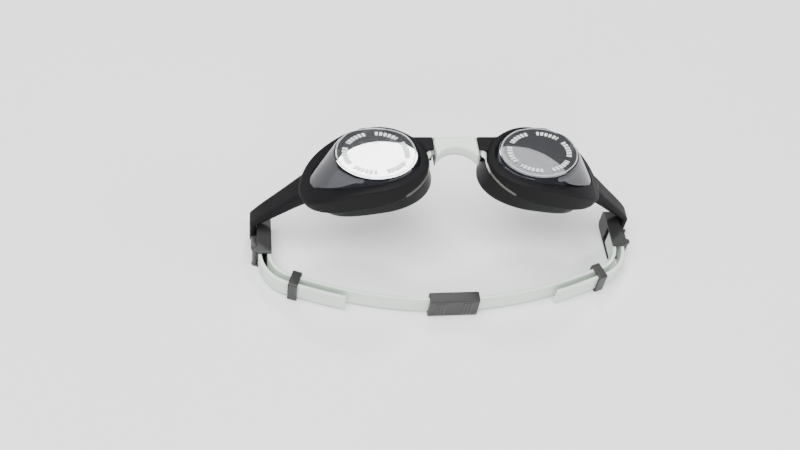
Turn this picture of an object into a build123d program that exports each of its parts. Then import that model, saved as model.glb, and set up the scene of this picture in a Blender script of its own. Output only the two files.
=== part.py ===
from build123d import *
import os
from math import cos, hypot, radians, sin

# Swim goggles, lying lenses-up on a flat surface, in millimetres.
# +X is to the right for someone looking at the lenses, +Y is the top of the
# goggles as worn and +Z is the way the lenses look.  Each right-hand piece is
# modelled once and mirrored in x = 0.  The finished origin is under the middle
# of the whole object, on the surface it lies on.

# Eyecups: place and tilt of each cup, and of the flat disc on its lens
LENS_HEIGHT = 64.0      # lens discs above the resting surface
CUP_SPREAD = 38.3       # middle of each disc from the middle of the nose
CUP_TILT = 17.0         # outer side of each cup leans back by this angle
DISC_TILT = 0.5         # outer side of each flat disc leans back by this angle

# Lens outline, about EGG_MIDDLE along the cup
EGG_MIDDLE = 2.0        # widest part of every cup outline, outwards of the disc
LENS_NOSE = 21.5        # from the widest part towards the nose
LENS_TEMPLE = 38.5      # from the widest part towards the temple
LENS_HALF = 17.2        # half the height of the lens at its edge
TEMPLE_BLUNT = 2.2      # 2 is an ellipse, more is squarer towards the temple
TEMPLE_DROP = 2.5       # the temple tip hangs this far towards the cheek
OUTLINE_STEPS = 8       # spans of the squarer curve
LENS_WALL = 1.8
DISC_LONG = 19.0        # half length of the raised flat disc
DISC_HALF = 15.2        # half height of the raised flat disc
DISC_CHAMFER = 0.9      # sloping ring round the disc
DISC_EDGE = 1.4         # depth of that sloping ring
LENS_FIT = 0.05         # clearance of the lens in its rim

# The cups wrap round the face on cylinders that lie along the cup's Y.  Each is
# given as (axis outwards of the disc, axis behind the disc, radius).
RIM_WRAP = (6.4, 62.8, 60.4)      # front edge of the rim
SEAM_WRAP = (-5.0, 292.0, 280.0)  # seam between rim and eye seal
FACE_WRAP = (7.5, 80.7, 62.0)     # edge of the seal that meets the face
SEAT_DROP = 2.3         # seat of the lens below the front edge of the rim
LEG_THICK = 1.1         # white layer between rim and seal on the nose side
LEG_REACH = 9.8         # that layer ends this far short of the cup's middle
CUP_TOP = -1.0          # depth at which the rim and eye opening are outlined
SEAL_TOP = -8.0         # depth at which the seal is outlined
LENS_BASE = -16.0       # depth at which the lens is outlined
CUP_BASE = -27.0        # depth of the wide outline of rim and seal
CLEAR_DEEP = 8.0        # space kept free beyond the lip of the seal
CUT_SIZE = 100.0        # blocks larger than a cup, for cutting away

# Rim, seal and eye opening: distances beyond the lens outline
RIM_TOP_WALL = 1.9      # wall of the rim round the lens
RIM_TEMPLE_WALL = 0.9   # and at the temple tip, where it is thin
RIM_TEMPLE_FLARE = -5.0 # the rim outline draws in at the temple tip, down to CUP_BASE
RIM_SHIFT = -0.6        # the rim is thicker on the cheek side than on the brow side
RIM_LEAN = -2.0         # and leans further that way at CUP_BASE
SEAL_SHIFT = -1.2       # the top of the seal follows the rim by this much
RIM_ROUND = 1.2         # rounding of the rim's front edge
RIM_BASE_FLARE = 3.0    # how far the rim outline has grown at CUP_BASE
SEAL_STEP = 1.4         # the seal stands in from the rim at the seam
SEAL_FLARE = 2.6        # the seal's growth from top to face edge
SEAL_TEMPLE_TOP = 8.0   # the seal starts this far in from the lens at the temple
SEAL_TEMPLE_IN = 12.5   # and draws in this far at the face
EYE_TEMPLE_IN = 10.0    # the eye opening stops this far short of the lens's temple
SEAL_NOSE_IN = 2.0      # and on the nose side
SEAL_ROUND = 1.4        # rounding of the lip that meets the face
EYE_LEDGE = 1.9         # ledge of the rim under the lens
SEAL_LIP = 4.6          # width of the soft lip that meets the face

# Protective film on the disc
FILM_MARGIN = 0.6
FILM_THICK = 0.3
FILM_GAP = 0.1

# Nose bridge
BRIDGE_HALF = 10.5      # half the white length between the black rims
BRIDGE_TOP = 12.5       # upper edge as worn
BRIDGE_WIDTH = 6.0      # from upper edge to the top of the nose arch
BRIDGE_FRONT = 3.0      # front face behind the discs
BRIDGE_DEPTH = 7.0
ARCH_DROP = 7.5         # the nose arch falls this far at the white ends
TONGUE_REACH = 5.0      # white layer inside the black, out to the cup's own layer
TONGUE_THICK = 1.4
TONGUE_DEPTH = 6.0      # back of that layer behind the discs
BRIDGE_ROUND = 1.2
ARCH_SLOPE = 1.8        # steepness of the arch where it meets the black
STUB_REACH = 23.0       # black part that joins the bridge, from the middle
STUB_GROW = 2.5         # the black part is deeper than the white by this much

# Arms: sections as (width, thickness) along a line from the cup to the lug
ARM_ROOT_PLACE = (24.7, -21.2)    # root from the disc's middle: outwards, behind
ARM_END_PLACE = (-9.2, 17.15)     # narrow end from the lug's outer face and the pivot
ARM_BETWEEN = ((0.303, 0.258), (0.642, 0.613))  # shares of that way, across and down
ARM_ROOT = (18.0, 6.5)
ARM_CORNER = (14.4, 7.0)
ARM_MIDDLE = (12.4, 5.6)
ARM_NARROW = (10.8, 4.4)
ARM_CORNER_SHARE = 0.42           # rounding of an arm section, of its thickness
LUG_THICK = 3.0
LUG_WIDTH = 9.0
LUG_OUTER = 94.0        # outer face of the upright lug at the end of the arm
LUG_START = 9.6         # the arm turns upright this far above the pivot

# Buckle, inside the lug
SIDE_GAP = 0.3          # gap between faces that turn past each other
BACK_SHARE = 0.6        # rounding of the buckle's back, of its length behind the pivot
TIP_SHARE = 0.8         # rounding of the rails' tips, of their thickness
LIP_SHARE = 0.4         # rounding of the lever's lip, of its thickness
SOCKET_SHARE = 1 / 3    # skin of a rail left outside a bar's socket, of its thickness
BUCKLE_SIDE = 0.45      # the buckle reaches this far beyond the doubled strap
BUCKLE_BACK = 5.0       # pivot block behind and in front of the pivot
BUCKLE_LENGTH = 17.5    # from the pivot to the open end of the rails
RAIL_THICK = 1.2
PIN_RADIUS = 1.6
PIN_FIT = 0.05
PIN_HEAD_RADIUS = 2.8
PIN_HEAD = 0.7
ROLLER_RADIUS = 1.2
ROLLER_PLACE = 8.8      # roller bar from the pivot
LEVER_PLACE = 15.0      # lever hinge from the pivot
LEVER_PIN_RADIUS = 0.8
LEVER_KNUCKLE = 1.6     # radius of lever and rails round the hinge pin
LEVER_THICK = 1.5
LEVER_LENGTH = 8.6      # from its hinge to its free end
LEVER_GAP = 0.3         # lever to buckle and to strap
LEVER_LIP = 1.0         # the free end turns out by this much for a fingertip

# Strap, a flat band standing on its edge
STRAP_WIDTH = 9.6
STRAP_THICK = 1.6
STRAP_FIT = 0.25
BEND_GAP = 0.1          # strap to roller bar
CORNER_START = 16.0     # strap runs straight back to here from the pivot
CORNER_RADIUS = 14.0
CORNER_TURN = 70.0
SIDE_RUN = 14.0         # straight run on which the keeper slides
TAIL_EXTRA = 14.0       # tail beyond the straight run
STRAP_END_GAP = 0.4     # between the two strap halves inside the rear clip
KEEPER_LENGTH = 4.5
KEEPER_WALL = 1.2
KEEPER_START = 3.2      # middle of the keeper from the end of the corner
CLIP_LENGTH = 24.0
CLIP_WALL = 1.4
CLIP_FIT = 0.45
SLEEVE_SHARE = 0.7      # rounding of keeper and clip, of their upper wall

BEND_RADIUS = ROLLER_RADIUS + BEND_GAP + STRAP_THICK / 2
RUN_APART = 2 * BEND_RADIUS
BUCKLE_THICK = RUN_APART + STRAP_THICK + 2 * BUCKLE_SIDE
BUCKLE_HEIGHT = STRAP_WIDTH + 2 * STRAP_FIT + 2 * RAIL_THICK
PIVOT_HEIGHT = BUCKLE_HEIGHT / 2
LUG_INNER = LUG_OUTER - LUG_THICK
BUCKLE_OUTER = LUG_INNER - SIDE_GAP
BUCKLE_INNER = BUCKLE_OUTER - BUCKLE_THICK
ROLLER_X = (BUCKLE_INNER + BUCKLE_OUTER) / 2
MAIN_X = ROLLER_X - BEND_RADIUS
STRAP_BOTTOM = PIVOT_HEIGHT - STRAP_WIDTH / 2

CUP_PLACE = Location((CUP_SPREAD, 0, LENS_HEIGHT)) * Rot(0, CUP_TILT, 0)
DISC_PLACE = Rot(0, DISC_TILT - CUP_TILT, 0)


def egg(nose, temple, half, middle=EGG_MIDDLE, blunt=TEMPLE_BLUNT, drop=True):
    """Closed outline: half an ellipse at the nose, a squarer curve at the temple."""
    turns = [radians(180 * step / OUTLINE_STEPS - 90) for step in range(OUTLINE_STEPS + 1)]
    power = 2 / blunt
    points = []
    for turn in turns:
        across = abs(sin(turn)) ** power * half
        along = abs(cos(turn)) ** power * temple
        hang = TEMPLE_DROP * (along / temple) ** 2 if drop else 0
        points.append((middle + along, (across if turn > 0 else -across) - hang))
    temple_side = Spline(points, tangents=[(1, 0), (-1, 0)])
    nose_side = EllipticalCenterArc((middle, 0), nose, half, 90, arc_size=180)
    return Face(Wire([nose_side, temple_side]))


def between(low, low_depth, high, high_depth):
    """Straight-sided solid between two outlines in the cup's own frame."""
    return loft([Pos(0, 0, low_depth) * low, Pos(0, 0, high_depth) * high], ruled=True)


def wrap(surface, raised=0):
    """Solid cylinder that follows the curve of the face, in the cup's frame."""
    offset, depth, radius = surface
    axis = Pos(offset, 0, -depth) * Rot(90, 0, 0)
    return axis * Cylinder(radius + raised, 2 * CUT_SIZE)


def disc_oval(inset):
    """Oval outline of the raised disc, smaller by inset."""
    return egg(DISC_LONG - inset, DISC_LONG - inset, DISC_HALF - inset, 0, 2, False)


def lens_block(grow, drop):
    """Outer shape of the lens without its hollow, grown sideways and lowered."""
    base = egg(LENS_NOSE + grow, LENS_TEMPLE + grow, LENS_HALF + grow)
    shoulder = DISC_PLACE * Pos(0, 0, -DISC_EDGE - drop) * disc_oval(-DISC_CHAMFER - grow)
    return loft([Pos(0, 0, LENS_BASE) * base, shoulder], ruled=True)


def lens():
    """Moulded lens: flat raised disc, sloping side window and open back."""
    shoulder = DISC_PLACE * Pos(0, 0, -DISC_EDGE) * disc_oval(-DISC_CHAMFER)
    rim_ring = loft([shoulder, DISC_PLACE * disc_oval(0)], ruled=True)
    body = lens_block(0, 0) + rim_ring
    body -= lens_block(-LENS_WALL, LENS_WALL - DISC_EDGE / 2)
    return body - wrap(RIM_WRAP, -SEAT_DROP)


def protective_film():
    """Thin peel-off disc lying on the flat of the lens."""
    sheet = extrude(disc_oval(FILM_MARGIN), FILM_THICK)
    return DISC_PLACE * Pos(0, 0, FILM_GAP) * sheet


def rim_block():
    """Outer shape of the black rim."""
    wall = RIM_TOP_WALL
    tip = LENS_TEMPLE + RIM_TEMPLE_WALL
    top = egg(LENS_NOSE + wall, tip, LENS_HALF + wall)
    wide = RIM_TOP_WALL + RIM_BASE_FLARE
    base = egg(LENS_NOSE + wide, tip + RIM_TEMPLE_FLARE, LENS_HALF + wide, drop=False)
    low = Pos(0, RIM_SHIFT + RIM_LEAN, 0) * base
    return between(low, CUP_BASE, Pos(0, RIM_SHIFT, 0) * top, CUP_TOP)


def eye_opening():
    """Hollow that runs from the back of the lens out to the face."""
    ledge = EYE_LEDGE
    top = egg(LENS_NOSE - ledge, LENS_TEMPLE - EYE_TEMPLE_IN - ledge, LENS_HALF - ledge)
    lip = SEAL_LIP - SEAL_STEP - SEAL_FLARE
    nose = LENS_NOSE - SEAL_NOSE_IN
    temple = LENS_TEMPLE - SEAL_TEMPLE_IN
    base = egg(nose - lip, temple - lip, LENS_HALF - lip, drop=False)
    return between(base, CUP_BASE, top, CUP_TOP)


def seal_block():
    """Outer shape of the soft eye seal."""
    step = RIM_TOP_WALL + RIM_BASE_FLARE / 2 - SEAL_STEP
    top = egg(LENS_NOSE + step, LENS_TEMPLE - SEAL_TEMPLE_TOP, LENS_HALF + step)
    wide = SEAL_FLARE + SEAL_STEP
    nose = LENS_NOSE - SEAL_NOSE_IN
    temple = LENS_TEMPLE - SEAL_TEMPLE_IN
    base = egg(nose + wide, temple + wide, LENS_HALF + wide, drop=False)
    return between(base, CUP_BASE, Pos(0, SEAL_SHIFT, 0) * top, SEAL_TOP)


def edges_on_wrap(solid, surface):
    """Edges of a cup piece that lie on this wrap cylinder."""
    offset, depth, radius = surface
    found = []
    for edge in solid.edges():
        points = [edge @ 0, edge @ 0.5, edge @ 1]
        reach = [hypot(p.X - offset, p.Z + depth) for p in points]
        if max(abs(r - radius) for r in reach) < 0.01:
            found.append(edge)
    return found


def bridge_leg():
    """White layer under the rim on the nose side of the cup."""
    layer = rim_block() & (wrap(SEAM_WRAP, LEG_THICK) - wrap(SEAM_WRAP))
    cut = Box(CUT_SIZE, CUT_SIZE, CUT_SIZE)
    nose_side = Pos(-LEG_REACH - CUT_SIZE / 2, 0, 0) * cut
    return (layer & nose_side) - eye_opening()


def gasket():
    """Soft eye seal, flared to a broad lip that meets the face."""
    ring = seal_block() & (wrap(SEAM_WRAP) - wrap(FACE_WRAP))
    ring -= eye_opening()
    return fillet(edges_on_wrap(ring, FACE_WRAP), SEAL_ROUND)


def arch_outline(reach, front_grow):
    """Face seen from the front: level upper edge over the arch of the nose."""
    low = BRIDGE_TOP - BRIDGE_WIDTH
    foot = low - ARCH_DROP * (reach / BRIDGE_HALF) ** 0.5
    arch = Spline([(-reach, foot), (0, low), (reach, foot)], tangents=[(1, ARCH_SLOPE), (1, -ARCH_SLOPE)])
    top = BRIDGE_TOP + front_grow
    edges = [
        arch,
        Line((reach, foot), (reach, top)),
        Line((reach, top), (-reach, top)),
        Line((-reach, top), (-reach, foot)),
    ]
    return Face(Wire(edges))


def bridge_saddle():
    """White arch over the nose, between the two black rims."""
    depth = LENS_HEIGHT - BRIDGE_FRONT - BRIDGE_DEPTH
    block = extrude(Pos(0, 0, depth) * arch_outline(BRIDGE_HALF, 0), BRIDGE_DEPTH)
    long_edges = block.edges().filter_by(Axis.X)
    curved = block.faces().filter_by(Axis.Z).edges().filter_by(GeomType.BSPLINE)
    return fillet(long_edges + curved, BRIDGE_ROUND)


def bridge_tongue():
    """Thin white layer that runs into the black on both sides of the saddle."""
    reach = BRIDGE_HALF + TONGUE_REACH
    back = Pos(0, 0, LENS_HEIGHT - TONGUE_DEPTH)
    layer = extrude(back * arch_outline(reach, 0), TONGUE_THICK)
    seal = CUP_PLACE * seal_clear()
    return layer - seal - mirror(seal, about=Plane.YZ)


def arm_section(place, section, direction):
    """Rounded section of the arm across its centre line."""
    x, z = place
    width, thick = section
    plane = Plane((x, 0, z), x_dir=(0, 1, 0), z_dir=direction)
    return plane * RectangleRounded(width, thick, thick * ARM_CORNER_SHARE)


def arm():
    """Curved arm from the corner of the rim down to its upright lug."""
    lug_x = LUG_OUTER - LUG_THICK / 2
    lug_top = PIVOT_HEIGHT + LUG_START
    root = (CUP_SPREAD + ARM_ROOT_PLACE[0], LENS_HEIGHT + ARM_ROOT_PLACE[1])
    end = (LUG_OUTER + ARM_END_PLACE[0], PIVOT_HEIGHT + ARM_END_PLACE[1])
    way = (end[0] - root[0], end[1] - root[1])
    slope = (way[0] / hypot(*way), 0, way[1] / hypot(*way))
    places = [(root[0] + way[0] * a, root[1] + way[1] * b) for a, b in ARM_BETWEEN]
    places = [root] + places + [end, (lug_x, lug_top)]
    sections = [ARM_ROOT, ARM_CORNER, ARM_MIDDLE, ARM_NARROW, (LUG_WIDTH, LUG_THICK)]
    headings = [slope] * 4 + [(0, 0, -1)]
    curve = loft([arm_section(*each) for each in zip(places, sections, headings)])
    upright = Pos(lug_x, 0, (lug_top + PIVOT_HEIGHT) / 2) * Box(
        LUG_THICK, LUG_WIDTH, lug_top - PIVOT_HEIGHT
    )
    eye = Pos(lug_x, 0, PIVOT_HEIGHT) * Rot(0, 90, 0) * Cylinder(LUG_WIDTH / 2, LUG_THICK)
    return curve + upright + eye


def frame():
    """Black rim, its stub towards the bridge and its arm, in one moulding."""
    band = rim_block() & (wrap(RIM_WRAP) - wrap(SEAM_WRAP))
    band = fillet(edges_on_wrap(band, RIM_WRAP), min(RIM_ROUND, 0.6 * RIM_TOP_WALL))
    depth = LENS_HEIGHT - BRIDGE_FRONT - BRIDGE_DEPTH - STUB_GROW
    stub = extrude(Pos(0, 0, depth) * arch_outline(STUB_REACH, 0), BRIDGE_DEPTH + STUB_GROW)
    cut = Box(CUT_SIZE, CUT_SIZE, CUT_SIZE)
    stub -= Pos(BRIDGE_HALF - CUT_SIZE / 2, 0, LENS_HEIGHT) * cut
    whole = CUP_PLACE * band + stub + arm()
    pocket = lens_block(LENS_FIT, 0) - wrap(RIM_WRAP, -SEAT_DROP)
    hollow = eye_opening() + pocket + bridge_leg() + seal_clear()
    whole -= CUP_PLACE * hollow
    whole -= bridge_tongue()
    hole = Pos(LUG_OUTER, 0, PIVOT_HEIGHT) * Rot(0, 90, 0)
    whole -= hole * Cylinder(PIN_RADIUS + PIN_FIT, 4 * LUG_THICK)
    whole -= hole * Cylinder(PIN_HEAD_RADIUS + PIN_FIT, 2 * PIN_HEAD)
    return whole


def seal_clear():
    """Space of the eye seal, kept free of the arm and the stub."""
    return seal_block() & (wrap(SEAM_WRAP) - wrap(FACE_WRAP, -CLEAR_DEEP))


def nose_bridge():
    """White bridge: the saddle and the two thin legs under the rims."""
    leg = CUP_PLACE * bridge_leg()
    both = leg + mirror(leg, about=Plane.YZ)
    return bridge_saddle() + bridge_tongue() + both


def pivot_place(x):
    """Frame on the buckle's pivot line with its Z along X."""
    return Pos(x, 0, PIVOT_HEIGHT) * Rot(0, 90, 0)


def swivel_pin():
    """Headed pin that joins the lug to the buckle."""
    inner_end = BUCKLE_INNER + RAIL_THICK
    shank_length = LUG_OUTER - PIN_HEAD - inner_end
    shank = pivot_place(inner_end + shank_length / 2) * Cylinder(PIN_RADIUS, shank_length)
    head = pivot_place(LUG_OUTER - PIN_HEAD / 2) * Cylinder(PIN_HEAD_RADIUS, PIN_HEAD)
    return shank + head


def upright_cylinder(radius, x, y, bottom, top):
    """Cylinder along Z between two heights."""
    return Pos(x, y, (bottom + top) / 2) * Cylinder(radius, top - bottom)


def buckle_body():
    """Block that turns on the pin, with two rails that carry bar and lever."""
    width_x = BUCKLE_THICK
    length = BUCKLE_LENGTH + BUCKLE_BACK
    middle_y = (BUCKLE_BACK - BUCKLE_LENGTH) / 2
    block = Pos(ROLLER_X, middle_y, PIVOT_HEIGHT) * Box(width_x, length, BUCKLE_HEIGHT)
    block = fillet(block.edges().filter_by(Axis.X).group_by(Axis.Y)[-1], BUCKLE_BACK * BACK_SHARE)
    block = fillet(block.edges().filter_by(Axis.X).group_by(Axis.Y)[0], RAIL_THICK * TIP_SHARE)
    channel = BUCKLE_LENGTH - BUCKLE_BACK
    channel_y = -BUCKLE_BACK - channel / 2 - SIDE_GAP
    inside = BUCKLE_HEIGHT - 2 * RAIL_THICK
    block -= Pos(ROLLER_X, channel_y, PIVOT_HEIGHT) * Box(2 * width_x, channel, inside)
    block -= swivel_hole()
    y = -LEVER_PLACE
    ear_reach = lever_x() - ROLLER_X
    ear = upright_cylinder(LEVER_KNUCKLE, lever_x(), y, 0, BUCKLE_HEIGHT)
    ear += Pos(ROLLER_X + ear_reach / 2, y, PIVOT_HEIGHT) * Box(
        ear_reach, 2 * LEVER_KNUCKLE, BUCKLE_HEIGHT
    )
    block += ear - Pos(ROLLER_X, y, PIVOT_HEIGHT) * Box(4 * width_x, 2 * width_x, inside)
    low = RAIL_THICK * SOCKET_SHARE
    high = BUCKLE_HEIGHT - low
    block -= upright_cylinder(ROLLER_RADIUS + PIN_FIT, ROLLER_X, -ROLLER_PLACE, low, high)
    block -= upright_cylinder(LEVER_PIN_RADIUS + PIN_FIT, lever_x(), -LEVER_PLACE, low, high)
    return block


def swivel_hole():
    """Blind bore of the buckle for the swivel pin."""
    inner_end = BUCKLE_INNER + RAIL_THICK - PIN_FIT
    length = LUG_OUTER - inner_end
    return pivot_place(inner_end + length / 2) * Cylinder(PIN_RADIUS + PIN_FIT, length)


def lever_x():
    """Line of the lever's hinge, outside the strap's tail."""
    return BUCKLE_OUTER + LEVER_GAP + LEVER_THICK / 2


def roller_bar():
    """Round bar that the strap folds round."""
    ends = RAIL_THICK * SOCKET_SHARE
    return upright_cylinder(ROLLER_RADIUS, ROLLER_X, -ROLLER_PLACE, ends, BUCKLE_HEIGHT - ends)


def lever_pin():
    """Hinge pin of the clamping lever."""
    ends = RAIL_THICK * SOCKET_SHARE
    return upright_cylinder(LEVER_PIN_RADIUS, lever_x(), -LEVER_PLACE, ends, BUCKLE_HEIGHT - ends)


def buckle_lever():
    """Flat lever that folds down over the tail and turns out to free it."""
    height = BUCKLE_HEIGHT - 2 * RAIL_THICK - 2 * LEVER_GAP
    low = PIVOT_HEIGHT - height / 2
    x = lever_x()
    knuckle = upright_cylinder(LEVER_KNUCKLE - LEVER_GAP, x, -LEVER_PLACE, low, low + height)
    plate_y = -LEVER_PLACE + LEVER_LENGTH / 2
    plate = Pos(x, plate_y, PIVOT_HEIGHT) * Box(LEVER_THICK, LEVER_LENGTH, height)
    lip_y = -LEVER_PLACE + LEVER_LENGTH - LEVER_THICK / 2
    lip_x = x + LEVER_LIP / 2
    lip = Pos(lip_x, lip_y, PIVOT_HEIGHT) * Box(LEVER_THICK + LEVER_LIP, LEVER_THICK, height)
    lip = fillet(lip.edges().filter_by(Axis.Z).group_by(Axis.X)[-1], LEVER_THICK * LIP_SHARE)
    whole = plate + lip + knuckle
    return whole - upright_cylinder(LEVER_PIN_RADIUS + PIN_FIT, x, -LEVER_PLACE, low, low + height)


def front_radius():
    """Radius of the long gentle arc round the back of the head."""
    turned = radians(CORNER_TURN)
    start_x = MAIN_X - CORNER_RADIUS * (1 - cos(turned)) - SIDE_RUN * sin(turned)
    return start_x / cos(turned)


def front_centre():
    """Height in Y of the middle of that arc, which lies on x = 0."""
    turned = radians(CORNER_TURN)
    start_y = -CORNER_START - CORNER_RADIUS * sin(turned) - SIDE_RUN * cos(turned)
    return start_y + front_radius() * sin(turned)


def corner_end(outside):
    """Point where the corner ends, on a run lying outside the main one."""
    turned = radians(CORNER_TURN)
    radius = CORNER_RADIUS + outside
    return (
        MAIN_X - CORNER_RADIUS + radius * cos(turned),
        -CORNER_START - radius * sin(turned),
    )


def band(parts):
    """Flat band standing on its edge along a planar path of lines and arcs."""
    path = Wire(parts)
    start = Plane(path @ 0, x_dir=(0, 0, 1), z_dir=path % 0)
    return sweep(start * Rectangle(STRAP_WIDTH, STRAP_THICK), path=path)


def strap_run(outside, front_angle):
    """Strap from the roller bar round the corner and along the long arc."""
    x = MAIN_X + outside
    turned = radians(CORNER_TURN)
    end_x, end_y = corner_end(outside)
    run_x = end_x - SIDE_RUN * sin(turned)
    run_y = end_y - SIDE_RUN * cos(turned)
    z = PIVOT_HEIGHT
    corner_middle = (MAIN_X - CORNER_RADIUS, -CORNER_START, z)
    arc_middle = (0, front_centre(), z)
    return band([
        Line((x, -ROLLER_PLACE - STRAP_FIT / 2, z), (x, -CORNER_START, z)),
        CenterArc(corner_middle, CORNER_RADIUS + outside, 0, -CORNER_TURN),
        Line((end_x, end_y, z), (run_x, run_y, z)),
        CenterArc(arc_middle, front_radius() + outside, -CORNER_TURN, -front_angle),
    ])


def strap():
    """Main run of one strap half, from the buckle to the rear clip."""
    end_gap = STRAP_END_GAP / 2 / radians(1) / front_radius()
    return strap_run(0, 90 - CORNER_TURN - end_gap)


def strap_tail():
    """Loose end, doubled back outside the main run."""
    return strap_run(RUN_APART, TAIL_EXTRA / radians(1) / front_radius())


def strap_fold():
    """Half turn of the strap round the roller bar."""
    middle = (ROLLER_X, -ROLLER_PLACE, PIVOT_HEIGHT)
    return band([CenterArc(middle, BEND_RADIUS, 0, 180)])


def sleeve(length, room_across, wall_across):
    """Flat tube along X with room for the strap's width and walls round it."""
    room_high = STRAP_WIDTH + 2 * STRAP_FIT
    wall_high = STRAP_BOTTOM - STRAP_FIT
    block = Box(length, room_across + 2 * wall_across, room_high + 2 * wall_high)
    block = fillet(block.edges().filter_by(Axis.X), wall_high * SLEEVE_SHARE)
    return block - Box(2 * length, room_across, room_high)


def strap_keeper():
    """Loop that holds the tail to the main run and slides along both."""
    turned = radians(CORNER_TURN)
    end_x, end_y = corner_end(RUN_APART / 2)
    x = end_x - KEEPER_START * sin(turned)
    y = end_y - KEEPER_START * cos(turned)
    loop = sleeve(KEEPER_LENGTH, RUN_APART + STRAP_THICK + 2 * STRAP_FIT, KEEPER_WALL)
    return Pos(x, y, PIVOT_HEIGHT) * Rot(0, 0, 90 - CORNER_TURN) * loop


def rear_clip():
    """Sleeve in which the two strap halves meet behind the head."""
    rise = (CLIP_LENGTH / 2) ** 2 / (2 * front_radius())
    y = front_centre() - front_radius() + rise / 2
    room = STRAP_THICK + rise + 2 * CLIP_FIT
    return Pos(0, y, PIVOT_HEIGHT) * sleeve(CLIP_LENGTH, room, CLIP_WALL)


def both_sides(name, piece):
    """The right-hand piece and its mirror image, by node name."""
    return {name + "_right": piece, name + "_left": mirror(piece, about=Plane.YZ)}


nodes = {"nose_bridge": nose_bridge(), "rear_clip": rear_clip()}
nodes |= both_sides("lens", CUP_PLACE * lens())
nodes |= both_sides("protective_film", CUP_PLACE * protective_film())
nodes |= both_sides("frame", frame())
nodes |= both_sides("gasket", CUP_PLACE * gasket())
nodes |= both_sides("swivel_pin", swivel_pin())
nodes |= both_sides("buckle_body", buckle_body())
nodes |= both_sides("roller_bar", roller_bar())
nodes |= both_sides("buckle_lever", buckle_lever())
nodes |= both_sides("lever_pin", lever_pin())
nodes |= both_sides("strap", strap())
nodes |= both_sides("strap_fold", strap_fold())
nodes |= both_sides("strap_tail", strap_tail())
nodes |= both_sides("strap_keeper", strap_keeper())

box = Compound(list(nodes.values())).bounding_box()
to_middle = Pos(0, -box.center().Y, -box.min.Z)

os.makedirs("parts", exist_ok=True)
for name, piece in nodes.items():
    export_step(to_middle * piece, "parts/" + name + ".step")
print("moved by", to_middle.position, "box", box.size)
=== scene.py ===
# %% [markdown]
# Swim goggles, lying with their lenses up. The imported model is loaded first. It
# fixes where every part is and how it moves, and nothing below moves or resizes
# it. Soft and moulded parts get a finished skin that rides on the same body.

# %% Load the fixed frame
import bpy
import math
from mathutils import Matrix, Vector


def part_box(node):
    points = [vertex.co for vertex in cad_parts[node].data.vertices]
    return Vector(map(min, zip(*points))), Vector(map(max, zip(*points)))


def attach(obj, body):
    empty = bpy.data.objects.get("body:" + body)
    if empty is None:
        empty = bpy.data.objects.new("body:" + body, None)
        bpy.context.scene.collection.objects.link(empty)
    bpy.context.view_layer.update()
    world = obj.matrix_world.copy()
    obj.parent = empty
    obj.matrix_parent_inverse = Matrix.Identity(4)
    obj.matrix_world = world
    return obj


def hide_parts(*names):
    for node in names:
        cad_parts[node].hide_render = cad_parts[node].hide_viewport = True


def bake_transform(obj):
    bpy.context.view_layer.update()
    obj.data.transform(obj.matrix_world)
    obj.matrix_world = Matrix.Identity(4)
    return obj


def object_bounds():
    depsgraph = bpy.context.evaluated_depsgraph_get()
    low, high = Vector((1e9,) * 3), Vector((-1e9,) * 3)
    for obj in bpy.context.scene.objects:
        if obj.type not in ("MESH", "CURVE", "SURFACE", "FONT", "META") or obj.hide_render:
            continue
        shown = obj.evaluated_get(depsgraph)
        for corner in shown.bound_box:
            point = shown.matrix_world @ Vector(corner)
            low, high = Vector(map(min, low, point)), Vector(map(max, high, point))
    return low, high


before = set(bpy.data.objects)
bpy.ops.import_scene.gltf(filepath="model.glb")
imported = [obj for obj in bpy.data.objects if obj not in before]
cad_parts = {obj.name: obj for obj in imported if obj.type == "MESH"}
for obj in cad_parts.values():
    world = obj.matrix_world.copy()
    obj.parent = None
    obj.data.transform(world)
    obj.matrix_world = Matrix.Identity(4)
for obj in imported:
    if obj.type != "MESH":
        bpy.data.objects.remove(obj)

cad_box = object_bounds()
SIDES = {"left": -1, "right": 1}

# %% [markdown]
# The camera looks down on the lenses from the left. Its place is given from the
# middle of the two flat discs, by two angles, a roll and a distance. The shift puts
# the goggles above the middle of the view.

# %% Camera
LOOK_DOWN = math.radians(50)
LOOK_ACROSS = math.radians(11.5)
CAMERA_ROLL = math.radians(-0.2)
CAMERA_DISTANCE = 0.517
FOCAL_LENGTH = 50.7
SHIFT = (-0.074, -0.0915)
SENSOR_WIDTH = 36
CLIP_START = 0.01

film_low, film_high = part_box("protective_film_right")
disc_middle = Vector((0, (film_low.y + film_high.y) / 2, film_high.z))


def camera_axes():
    """Right, up and backward directions of the camera."""
    back = Vector((0, -math.cos(LOOK_DOWN), math.sin(LOOK_DOWN)))
    up = Vector((0, math.sin(LOOK_DOWN), math.cos(LOOK_DOWN)))
    turn = Matrix.Rotation(-LOOK_ACROSS, 3, up)
    right = turn @ Vector((1, 0, 0))
    back = turn @ back
    roll = Matrix.Rotation(CAMERA_ROLL, 3, back)
    return roll @ right, roll @ up, back


right, up, back = camera_axes()
camera_data = bpy.data.cameras.new("camera")
camera_data.lens = FOCAL_LENGTH
camera_data.sensor_width = SENSOR_WIDTH
camera_data.shift_x, camera_data.shift_y = SHIFT
camera_data.clip_start = CLIP_START
camera = bpy.data.objects.new("camera", camera_data)
bpy.context.scene.collection.objects.link(camera)
place = Matrix((right, up, back)).transposed().to_4x4()
place.translation = disc_middle + back * CAMERA_DISTANCE
camera.matrix_world = place
bpy.context.scene.camera = camera
print("camera at", [round(v, 3) for v in place.translation])

# %% [markdown]
# Shader maths is easier to read as plain expressions, so Flow wraps one socket,
# turns + - * / into Math nodes and makes smooth steps. Paint holds one material,
# and its add method makes any other node from its type, settings and inputs.

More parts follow.
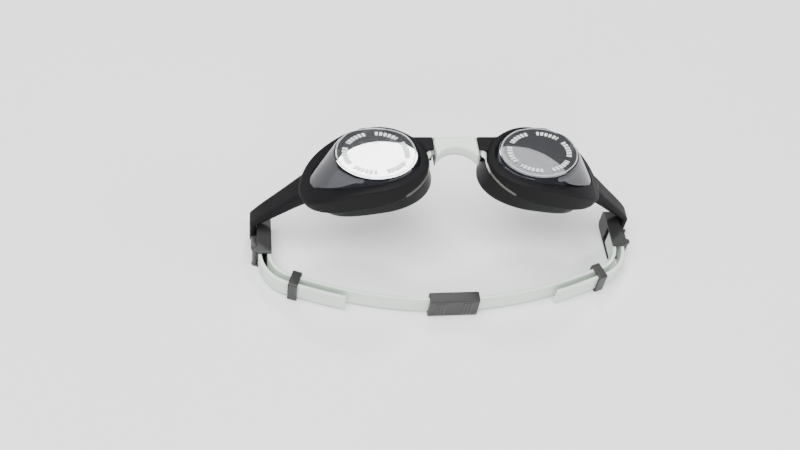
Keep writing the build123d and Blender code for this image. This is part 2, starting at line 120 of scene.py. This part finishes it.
# %% Shader maths
class Flow:
    """One output socket of a material, with maths."""

    def __init__(self, tree, socket):
        self.tree = tree
        self.socket = socket

    def maths(self, operation, *others, first=None):
        node = self.tree.nodes.new("ShaderNodeMath")
        node.operation = operation
        values = (self,) + others if first is None else (first, self) + others
        for entry, value in zip(node.inputs, values):
            plug(self.tree, entry, value)
        return Flow(self.tree, node.outputs[0])

    def __add__(self, other):
        return self.maths("ADD", other)

    __radd__ = __add__

    def __mul__(self, other):
        return self.maths("MULTIPLY", other)

    __rmul__ = __mul__

    def __sub__(self, other):
        return self.maths("SUBTRACT", other)

    def __rsub__(self, other):
        return self.maths("SUBTRACT", first=other)

    def __truediv__(self, other):
        return self.maths("DIVIDE", other)

    def rise(self, low, high):
        """0 below low, 1 above high, smooth between."""
        node = self.tree.nodes.new("ShaderNodeMapRange")
        node.interpolation_type = "SMOOTHSTEP"
        plug(self.tree, node.inputs[0], self)
        node.inputs[1].default_value, node.inputs[2].default_value = low, high
        return Flow(self.tree, node.outputs[0])

    def band(self, low, high, soft):
        """1 between low and high, fading over soft."""
        return self.rise(low - soft, low + soft) * (1 - self.rise(high - soft, high + soft))


def plug(tree, entry, value):
    """Links a Flow to an input, or sets a plain value on it."""
    if isinstance(value, Flow):
        tree.links.new(value.socket, entry)
    else:
        entry.default_value = value


class Paint:
    """One material, made from a Principled shader."""

    def __init__(self, name, **fixed):
        self.material = bpy.data.materials.new(name)
        self.material.use_nodes = True
        self.tree = self.material.node_tree
        self.shader = self.tree.nodes["Principled BSDF"]
        self.set(**fixed)
        self.place = self.add("ShaderNodeTexCoord", out="Object")

    def set(self, **values):
        for name, value in values.items():
            plug(self.tree, self.shader.inputs[name.replace("_", " ")], value)

    def add(self, kind, settings=None, inputs=None, out=0):
        """Makes one node; settings come first, then inputs by name or number."""
        node = self.tree.nodes.new(kind)
        for name, value in (settings or {}).items():
            setattr(node, name, value)
        for name, value in (inputs or {}).items():
            plug(self.tree, node.inputs[name], value)
        return Flow(self.tree, node.outputs[out])

    def noise(self, scale, detail=3.0, rough=0.5, stretch=(1, 1, 1)):
        """Soft noise from 0 to 1 at so many spots per metre."""
        place = self.add("ShaderNodeMapping", {}, {"Vector": self.place, "Scale": stretch})
        inputs = {"Vector": place, "Scale": scale, "Detail": detail, "Roughness": rough}
        return self.add("ShaderNodeTexNoise", {}, inputs)

    def mix(self, factor, first, second):
        """Colour between first and second."""
        inputs = {0: factor, 6: first, 7: second}
        return self.add("ShaderNodeMix", {"data_type": "RGBA"}, inputs, 2)

    def axes(self, place):
        """The three coordinates of place as single values."""
        parts = self.add("ShaderNodeSeparateXYZ", {}, {"Vector": place})
        return [Flow(self.tree, output) for output in parts.socket.node.outputs]

    def bump(self, height, depth, strength=1.0):
        """Feeds a height to the surface normal; depth is in metres."""
        inputs = {"Height": height, "Distance": depth, "Strength": strength}
        normal = self.add("ShaderNodeBump", {}, inputs)
        self.set(Normal=normal)


def grey(value, alpha=1.0):
    """A neutral colour."""
    return (value, value, value, alpha)

# %% [markdown]
# The floor is one plain pale sheet under the whole object, wide enough to fill
# the view behind it, with a faint mottle.

# %% Floor
FLOOR_SIZE = 6.0


def floor_paint():
    paint = Paint("floor", Roughness=0.75)
    tone = paint.noise(9, 4)
    paint.set(Base_Color=paint.mix(tone, (0.83, 0.83, 0.84, 1), (0.87, 0.87, 0.87, 1)))
    paint.bump(paint.noise(900, 2), 0.00005, 0.3)
    return paint.material


bpy.ops.mesh.primitive_plane_add(size=FLOOR_SIZE, location=(0, 0, cad_box[0].z))
floor = bpy.context.object
floor.name = "floor"
floor.data.materials.append(floor_paint())

# %% [markdown]
# The discs are flat mirrors that look up and away from the camera. Each one
# shows its own round-edged lamp: a white one for the left disc and a grey one
# for the right. Each lamp covers the lower part of its disc, so a dark crescent
# is left above it. The large soft lamps stand where neither disc sees them.

# %% Lights
LAMP_RISE = 1.0         # above the discs, in metres
DISC_LAMPS = (          # name, across, along, diameter, power
    ("left disc lamp", 0.122, 0.765, 0.190, 8.0),
    ("right disc lamp", 0.374, 0.762, 0.190, 0.7),
)
SOFT_LAMPS = (          # name, place, target, size, power
    ("overhead", (-0.35, -0.25, 1.35), (0, 0, 0.02), (1.3, 0.9), 40),
    ("right side", (1.3, -0.2, 0.7), (0, 0, 0.03), (0.9, 0.7), 11),
    ("front", (-0.2, -1.4, 0.8), (0, 0, 0.03), (1.2, 0.6), 12),
)
WORLD_COLOUR = (0.93, 0.96, 1.0, 1)
WORLD_STRENGTH = 0.3


def lamp(name, place, target, size, power, shape="RECTANGLE"):
    """Area lamp that shines from place to target."""
    data = bpy.data.lights.new(name, "AREA")
    data.shape = shape
    data.size, data.size_y = size
    data.energy = power
    lamp_object = bpy.data.objects.new(name, data)
    bpy.context.scene.collection.objects.link(lamp_object)
    lamp_object.location = place
    direction = Vector(target) - Vector(place)
    lamp_object.rotation_euler = direction.to_track_quat("-Z", "Y").to_euler()


above = disc_middle + Vector((0, 0, LAMP_RISE))
for name, across, along, wide, power in DISC_LAMPS:
    spot = above + Vector((across, along, 0))
    lamp(name, spot, spot - Vector((0, 0, 1)), (wide, wide), power, "DISK")
for name, spot, target, size, power in SOFT_LAMPS:
    lamp(name, spot, target, size, power)
world = bpy.data.worlds.new("world")
world.use_nodes = True
background = world.node_tree.nodes["Background"]
background.inputs["Color"].default_value = WORLD_COLOUR
background.inputs["Strength"].default_value = WORLD_STRENGTH
bpy.context.scene.world = world

# %% [markdown]
# The black rims and arms are moulded in a dull rubbery plastic. Broad soft
# variation in the gloss and a very fine grain give it the look of a matt mould.
# Outward edges are a little smoother from handling and are painted a little lighter: partly wear,
# partly a painted sheen.

# %% Black moulding and black seal
def wear_and_sheen_edges(paint, width):
    """1 along outward edges of the surface, from the geometry itself; it marks wear and a painted
    sheen.
    """
    pointed = paint.add("ShaderNodeNewGeometry", out="Pointiness")
    return pointed.rise(0.5 + width, 0.5 + 4 * width)


def moulding_paint():
    paint = Paint("black_moulding", IOR=1.47)
    broad = paint.noise(70, 4, 0.6)
    fine = paint.noise(2600, 3, 0.6)
    edge = wear_and_sheen_edges(paint, 0.02)
    base = paint.mix(broad, (0.0036, 0.0036, 0.0041, 1), (0.0066, 0.0066, 0.0073, 1))
    # The edges are painted lighter: partly wear, partly a painted sheen.
    paint.set(Base_Color=paint.mix(edge * 0.6, base, (0.018, 0.018, 0.019, 1)))
    paint.set(Roughness=0.52 + broad * 0.14 - edge * 0.08, Specular_IOR_Level=0.14)
    paint.bump(fine + broad * 2, 0.00002, 0.5)
    return paint.material


def seal_paint():
    """Black silicone: smoother than the rim, with specks of dust."""
    paint = Paint("black_silicone", IOR=1.43)
    broad = paint.noise(55, 3)
    dust = paint.noise(1500, 5, 0.7).rise(0.66, 0.74)
    base = paint.mix(broad, (0.0030, 0.0030, 0.0034, 1), (0.0055, 0.0055, 0.0062, 1))
    paint.set(Base_Color=paint.mix(dust * 0.35, base, (0.10, 0.10, 0.10, 1)))
    paint.set(Roughness=0.36 + broad * 0.12 + dust * 0.2, Specular_IOR_Level=0.18)
    paint.bump(broad + paint.noise(900, 2) * 0.3, 0.00003, 0.4)
    return paint.material


# %% [markdown]
# The nose bridge is milky green-white silicone. A little black bleeds over its
# two ends in an uneven line. The underside has a brownish painted shade, and the
# legs past the bleed, which run under the rims, have a nearly black painted
# shade. The strap has nearly the same colour, with fine lengthwise ribs.

# %% Pale silicone
bridge_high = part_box("nose_bridge")[1]
BLEED_IN = (0.0094, 0.0104)     # from the middle, where the bleed fades in
BLEED_OUT = (0.0118, 0.0124)    # and out again
LEGS_SHADE_IN = (0.0125, 0.0150)      # where the painted shade on the legs fades in
UNDERSIDE_SHADE = (0.0070, 0.0042)    # depths where the painted underside shade fades out
RIB_TURN = 5200                 # radians per metre, ribs 1.2 mm apart


def bridge_paint():
    paint = Paint("mint_silicone", IOR=1.42, Subsurface_Weight=0.25,
                  Subsurface_Radius=(0.004, 0.0045, 0.004), Subsurface_Scale=0.6)
    x, _, z = paint.axes(paint.place)
    broad = paint.noise(60, 3)
    wave = (paint.noise(260, 2) - 0.5) * 0.0022
    across = x.maths("ABSOLUTE") + wave
    edge = across.rise(*BLEED_IN) * (1 - across.rise(*BLEED_OUT))
    milk = paint.mix(broad, (0.63, 0.71, 0.63, 1), (0.71, 0.77, 0.70, 1))
    # Painted shade: the underside of the bridge is darkened to brown, lower down more.
    underside_shade = 1 - z.rise(bridge_high.z - UNDERSIDE_SHADE[0], bridge_high.z - UNDERSIDE_SHADE[1])
    milk = paint.mix(underside_shade * 0.75, milk, (0.27, 0.25, 0.22, 1))
    # Painted shade: the legs that run under the rims are darkened to nearly black.
    legs_shade = x.maths("ABSOLUTE").rise(*LEGS_SHADE_IN)
    milk = paint.mix(legs_shade, milk, (0.075, 0.068, 0.060, 1))
    specks = paint.noise(1900, 4, 0.7).rise(0.70, 0.76)
    milk = paint.mix(specks * 0.25, milk, (0.25, 0.24, 0.22, 1))
    paint.set(Base_Color=paint.mix(edge * 0.85, milk, (0.085, 0.085, 0.10, 1)))
    paint.set(Roughness=0.38 + broad * 0.14)
    paint.bump(broad + paint.noise(1500, 2) * 0.2, 0.00004, 0.4)
    return paint.material


def strap_paint():
    paint = Paint("mint_strap", IOR=1.42, Subsurface_Weight=0.2,
                  Subsurface_Radius=(0.003, 0.0035, 0.003), Subsurface_Scale=0.5)
    z = paint.axes(paint.place)[2]
    broad = paint.noise(45, 3)
    rib = (z * RIB_TURN).maths("SINE")
    grime = paint.noise(420, 5, 0.65).rise(0.60, 0.74)
    milk = paint.mix(broad, (0.62, 0.70, 0.63, 1), (0.70, 0.77, 0.70, 1))
    paint.set(Base_Color=paint.mix(grime * 0.18, milk, (0.40, 0.42, 0.38, 1)))
    paint.set(Roughness=0.42 + broad * 0.12)
    paint.bump(rib * 0.5 + paint.noise(1300, 2) * 0.4, 0.00006, 0.6)
    return paint.material

# %% [markdown]
# The lens is smoke-tinted polycarbonate. It is a dielectric with a dark tint, so
# the flat disc shows its lamp as a plain reflection and the slanted window round
# it stays nearly black. A thin coat adds a faint purple-blue sheen.

# %% Lens, film and hard plastics
def lens_paint():
    paint = Paint("smoke_lens", IOR=1.59, Transmission_Weight=0.75, Coat_IOR=1.6,
                  Coat_Tint=(0.75, 0.7, 1.0, 1))
    broad = paint.noise(40, 3)
    smear = paint.noise(320, 5, 0.7, (1, 2.5, 1)).rise(0.55, 0.8)
    tint = paint.mix(broad, (0.022, 0.023, 0.028, 1), (0.036, 0.037, 0.044, 1))
    paint.set(Base_Color=tint, Roughness=0.008 + smear * 0.012, Coat_Weight=0.05 + broad * 0.1)
    return paint.material


DASHES = 44     # letter-sized dashes round the whole ring
WORDS = 6       # groups of dashes


def film_paint(name, centre, half):
    """Clear film with a ring of plain dashes, laid out about its own middle."""
    paint = Paint(name, IOR=1.45)
    shift = {"Location": (-centre[0] / half[0], -centre[1] / half[1], 0)}
    shift["Scale"] = (1 / half[0], 1 / half[1], 1)
    placed = paint.add("ShaderNodeMapping", {}, {"Vector": paint.place, **shift})
    u, v, _ = paint.axes(placed)
    reach = (u * u + v * v).maths("SQRT")
    turn = v.maths("ARCTAN2", u) / (2 * math.pi) + 0.5
    ring = reach.band(0.71, 0.835, 0.010)
    stroke = (turn * DASHES).maths("FRACT").band(0.20, 0.80, 0.04)
    word = (turn * WORDS + 0.35).maths("FRACT").band(0.10, 0.86, 0.01)
    side_bar = (turn * DASHES).maths("FRACT").band(0.36, 0.66, 0.03)
    middle = reach.band(0.735, 0.762, 0.006) + reach.band(0.785, 0.812, 0.006)
    marks = ring * stroke * word * (1 - side_bar * middle)
    # Painted highlight: the outer rim is made whiter and more opaque, as a lit cut edge.
    rim = reach.rise(0.955, 0.985)
    scuff = paint.noise(700, 5, 0.75, (1, 3, 1)).rise(0.62, 0.72)
    clear = 0.012 + scuff * 0.04 + rim * 0.25
    paint.set(Base_Color=paint.mix(scuff, (0.86, 0.90, 0.90, 1), (0.80, 0.84, 0.84, 1)))
    paint.set(Alpha=clear.maths("MAXIMUM", marks * 0.95), Roughness=0.12 + marks * 0.4)
    paint.bump(paint.noise(90, 2), 0.0002, 0.06)
    return paint.material


def hard_paint(name, dark, light, grain, rough):
    """Black nylon with a pitted grain, smoother along its edges and painted lighter there, partly
    wear and partly a painted sheen.
    """
    paint = Paint(name, IOR=1.5)
    broad = paint.noise(90, 3)
    pits = paint.noise(grain, 3, 0.6)
    edge = wear_and_sheen_edges(paint, 0.015)
    base = paint.mix(broad, grey(dark), grey(light))
    # The edges are painted lighter: partly wear, partly a painted sheen.
    paint.set(Base_Color=paint.mix(edge * 0.5, base, grey(light * 2.4)))
    paint.set(Roughness=rough + broad * 0.1 - edge * 0.1)
    paint.bump(pits, 0.00006, 0.6)
    return paint.material


def steel_paint():
    """Turned steel with fine marks and a few dull spots."""
    paint = Paint("turned_steel", Metallic=1.0)
    lines = paint.noise(900, 4, 0.7, (6, 1, 1))
    spots = paint.noise(500, 4).rise(0.6, 0.75)
    tone = paint.mix(lines, grey(0.42), grey(0.62))
    paint.set(Base_Color=paint.mix(spots * 0.5, tone, (0.22, 0.20, 0.18, 1)))
    paint.set(Roughness=0.24 + lines * 0.12 + spots * 0.2)
    paint.bump(lines, 0.00002, 0.4)
    return paint.material


PAINTS = {
    "frame": moulding_paint(),
    "seal": seal_paint(),
    "bridge": bridge_paint(),
    "strap": strap_paint(),
    "lens": lens_paint(),
    "buckle": hard_paint("black_nylon", 0.010, 0.018, 1700, 0.42),
    "lever": hard_paint("lever_nylon", 0.013, 0.024, 1300, 0.36),
    "steel": steel_paint(),
}
print("materials:", sorted(PAINTS))

# %% [markdown]
# A moulded piece starts as a copy of its CAD solid. Its doubled points are
# merged, it is remeshed into one even skin and the skin is smoothed a little, so
# sharp cut lines turn into the small soft radii that a mould leaves.

# %% Copies and moulded skins
def activate(piece):
    """Makes piece the only selected object."""
    bpy.ops.object.select_all(action="DESELECT")
    piece.select_set(True)
    bpy.context.view_layer.objects.active = piece


def copy_of(nodes, name, reach=0.000002):
    """One merged mesh of the given CAD nodes, as a new object."""
    copies = []
    for node in nodes:
        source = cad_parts[node]
        twin = bpy.data.objects.new(name, source.data.copy())
        bpy.context.scene.collection.objects.link(twin)
        twin.matrix_world = source.matrix_world
        copies.append(twin)
    activate(copies[0])
    for twin in copies[1:]:
        twin.select_set(True)
    if len(copies) > 1:
        bpy.ops.object.join()
    piece = bpy.context.object
    piece.name = name
    piece.data.materials.clear()
    for key in [key for key in piece.keys() if key.startswith("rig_")]:
        del piece[key]
    if piece.data.has_custom_normals:
        bpy.ops.mesh.customdata_custom_splitnormals_clear()
    bpy.ops.object.mode_set(mode="EDIT")
    bpy.ops.mesh.select_all(action="SELECT")
    bpy.ops.mesh.remove_doubles(threshold=reach)
    bpy.ops.mesh.normals_make_consistent(inside=False)
    bpy.ops.object.mode_set(mode="OBJECT")
    return piece


def apply(piece, kind, **settings):
    """Adds one modifier to piece and applies it."""
    activate(piece)
    modifier = piece.modifiers.new(kind.lower(), kind)
    for name, value in settings.items():
        setattr(modifier, name, value)
    bpy.ops.object.modifier_apply(modifier=modifier.name)


def mould(piece, grid, rounds):
    """Even skin of points about grid apart, smoothed over so many rounds."""
    apply(piece, "REMESH", mode="VOXEL", voxel_size=grid, adaptivity=0.0)
    apply(piece, "SMOOTH", factor=0.5, iterations=rounds)
    activate(piece)
    bpy.ops.object.shade_smooth()


def finish(piece, paint, body, nodes):
    """Gives piece its material and its body, and hides the CAD nodes under it."""
    piece.data.materials.append(PAINTS[paint])
    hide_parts(*nodes)
    if body:
        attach(piece, body)
    print(piece.name, len(piece.data.polygons), "faces")


# %% [markdown]
# Each rim and its arm are one moulding, and so is each eye seal. The nose bridge
# is moulded between them. All of them belong to the body that the wearer holds
# against the face.

# %% Rims, seals and bridge
FINE = 0.00045
BRIDGE_GRID = 0.00035

for side in SIDES:
    node = "frame_" + side
    rim = copy_of([node], "moulded_" + node)
    mould(rim, FINE, 5)
    finish(rim, "frame", "eyepieces", [node])
    node = "gasket_" + side
    seal = copy_of([node], "soft_" + node)
    mould(seal, FINE, 5)
    finish(seal, "seal", "eyepieces", [node])

saddle = copy_of(["nose_bridge"], "soft_nose_bridge")
mould(saddle, BRIDGE_GRID, 5)
finish(saddle, "bridge", "eyepieces", ["nose_bridge"])

# %% [markdown]
# The lenses keep their exact CAD faces, because the disc has to stay flat to
# mirror its lamp. Only their sharp edges are eased with a small bevel, and the
# normals are weighted so that the disc is shaded flat up to its edge.

# %% Lenses
LENS_EASE = 0.00012

for side in SIDES:
    node = "lens_" + side
    lens = copy_of([node], "clear_" + node)
    apply(lens, "BEVEL", width=LENS_EASE, segments=2, limit_method="ANGLE",
          angle_limit=math.radians(30))
    bpy.ops.object.shade_smooth_by_angle(angle=math.radians(25))
    apply(lens, "WEIGHTED_NORMAL", weight=100, keep_sharp=True)
    finish(lens, "lens", "eyepieces", [node])

# %% [markdown]
# The protective film is an oval sheet that covers nearly the whole disc, drawn
# thinner than the imported one. It has been handled, so its edge has lifted in
# three places and catches the light. Its outer rim also has a painted highlight,
# whiter and more opaque than the rest. The sheet is built as rings of points and
# then given its thickness.

# %% Protective films
FILM_RINGS = 26
FILM_SPOKES = 180
FILM_THICK = 0.00014
FILM_SINK = 0.00016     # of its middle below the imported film's highest point
FILM_TILT = math.radians(0.5)
LIFT_START = 0.84       # share of the way out where the edge starts to lift
LIFT_WIDTH = 0.16
LIFTS = {
    "left": ((0.70, 0.42, 0.0011), (2.30, 0.30, 0.0014), (2.75, 0.16, 0.0008)),
    "right": ((0.75, 0.20, 0.0010), (0.15, 0.30, 0.0005), (2.10, 0.20, 0.0004)),
}


def film_sheet(side):
    """Oval sheet on one disc with its edge lifted at (angle, spread, rise)."""
    low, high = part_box("protective_film_" + side)
    centre = (low + high) / 2
    half = (high - low) / 2
    tilt = FILM_TILT * SIDES[side]
    verts = [(centre.x, centre.y, high.z - FILM_SINK)]
    for ring in range(1, FILM_RINGS + 1):
        reach = ring / FILM_RINGS
        for spoke in range(FILM_SPOKES):
            turn = 2 * math.pi * spoke / FILM_SPOKES
            across = half.x * reach * math.cos(turn)
            along = half.y * reach * math.sin(turn)
            rise = -across * math.tan(tilt)
            for angle, spread, height in LIFTS[side]:
                apart = math.remainder(turn - angle, 2 * math.pi) / spread
                rise += height * math.exp(-apart * apart) * max(0, reach - LIFT_START) / LIFT_WIDTH
            verts.append((centre.x + across, centre.y + along, high.z - FILM_SINK + rise))
    faces = [(0, 1 + spoke, 1 + (spoke + 1) % FILM_SPOKES) for spoke in range(FILM_SPOKES)]
    for ring in range(FILM_RINGS - 1):
        inner = 1 + ring * FILM_SPOKES
        outer = inner + FILM_SPOKES
        for spoke in range(FILM_SPOKES):
            following = (spoke + 1) % FILM_SPOKES
            faces.append((inner + spoke, outer + spoke, outer + following, inner + following))
    mesh = bpy.data.meshes.new("film_sheet_" + side)
    mesh.from_pydata(verts, [], faces)
    sheet = bpy.data.objects.new("film_sheet_" + side, mesh)
    bpy.context.scene.collection.objects.link(sheet)
    apply(sheet, "SOLIDIFY", thickness=FILM_THICK, offset=-1)
    bpy.ops.object.shade_smooth_by_angle(angle=math.radians(40))
    PAINTS["film_" + side] = film_paint("film_" + side, centre, half)
    return sheet


for side in SIDES:
    finish(film_sheet(side), "film_" + side, side + "_film", ["protective_film_" + side])

# %% [markdown]
# Each strap half is one band: it comes from the roller bar, turns the corner and
# runs round the back, and its doubled tail lies outside. The band is made from
# the three straight-sided CAD pieces, joined and moulded as one.

# %% Straps
STRAP_GRID = 0.0003
BAND_MERGE = 0.00014    # points this close on two pieces become one
CAP_REACH = 0.0002      # of an inner cap from the roller bar


def strap_band(side):
    """One strap half with its fold and its tail, as one skin."""
    names = [kind + side for kind in ("strap_", "strap_fold_", "strap_tail_")]
    band = copy_of(names, "band_" + side, BAND_MERGE)
    roller = sum((corner.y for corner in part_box("roller_bar_" + side)), 0.0) / 2
    bpy.ops.object.mode_set(mode="EDIT")
    bpy.ops.mesh.select_all(action="DESELECT")
    bpy.ops.object.mode_set(mode="OBJECT")
    for face in band.data.polygons:
        flat = abs(face.normal.y) > 0.99
        face.select = flat and abs(face.center.y - roller) < CAP_REACH
    caps = sum(face.select for face in band.data.polygons)
    bpy.ops.object.mode_set(mode="EDIT")
    bpy.ops.mesh.delete(type="ONLY_FACE")
    bpy.ops.object.mode_set(mode="OBJECT")
    print("band", side, "inner caps taken out:", caps)
    mould(band, STRAP_GRID, 3)
    return band


for side in SIDES:
    band = strap_band(side)
    finish(band, "strap", None, ["strap_" + side, "strap_fold_" + side, "strap_tail_" + side])
    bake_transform(band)

# %% [markdown]
# The buckles, levers, keepers and the rear clip are hard nylon. They are small,
# so their skin is finer and is smoothed less. Raised ridges on the levers and on
# the rear clip give the fingers a grip.

# %% Hard parts
HARD_GRID = 0.00022
CLIP_GRID = 0.00028
RIDGE_SIZE = (0.0007, 0.0006)   # of each grip bar, in x and y
RIDGE_INSET = 0.0010            # of its middle from the lever's outer face
LEVER_STEP = 0.0014
CLIP_STEP = 0.0016
LEVER_SHARE = 0.8               # of the height that the bars take up
CLIP_SHARE = 0.7


def ridges(piece, places, size):
    """Adds rounded grip bars of the given size to piece before it is moulded."""
    bars = []
    for place in places:
        bpy.ops.mesh.primitive_cube_add(size=1, location=place, scale=size)
        bars.append(bpy.context.object)
    activate(piece)
    for bar in bars:
        bar.select_set(True)
    bpy.ops.object.join()


for side, sign in SIDES.items():
    node = "buckle_body_" + side
    body = copy_of([node], "hard_" + node)
    mould(body, HARD_GRID, 3)
    finish(body, "buckle", side + "_buckle", [node])
    node = "buckle_lever_" + side
    lever = copy_of([node], "hard_" + node)
    low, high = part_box(node)
    middle = (low + high) / 2
    outer = high.x if sign > 0 else low.x
    bar_x = outer - sign * RIDGE_INSET
    bars = [(bar_x, middle.y + step * LEVER_STEP, middle.z) for step in (-1, 0, 1)]
    ridges(lever, bars, (*RIDGE_SIZE, (high.z - low.z) * LEVER_SHARE))
    mould(lever, HARD_GRID, 2)
    finish(lever, "lever", side + "_lever", [node])
    node = "strap_keeper_" + side
    keeper = copy_of([node], "hard_" + node)
    mould(keeper, HARD_GRID, 3)
    finish(keeper, "buckle", side + "_keeper", [node])

low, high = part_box("rear_clip")
clip = copy_of(["rear_clip"], "hard_rear_clip")
bars = [(step * CLIP_STEP, low.y, (low.z + high.z) / 2) for step in (-5, -4, -3, 3, 4, 5)]
ridges(clip, bars, (*RIDGE_SIZE, (high.z - low.z) * CLIP_SHARE))
mould(clip, CLIP_GRID, 3)
finish(clip, "buckle", "left_strap", ["rear_clip"])

# %% [markdown]
# The pins and roller bars keep their CAD shape and only get a material: black
# nylon on the swivel pins, turned steel on the others.

# %% Pins
PINS = {"swivel_pin_": "buckle", "roller_bar_": "steel", "lever_pin_": "steel"}

for side in SIDES:
    for kind, paint in PINS.items():
        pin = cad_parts[kind + side]
        pin.data.materials.clear()
        pin.data.materials.append(PAINTS[paint])
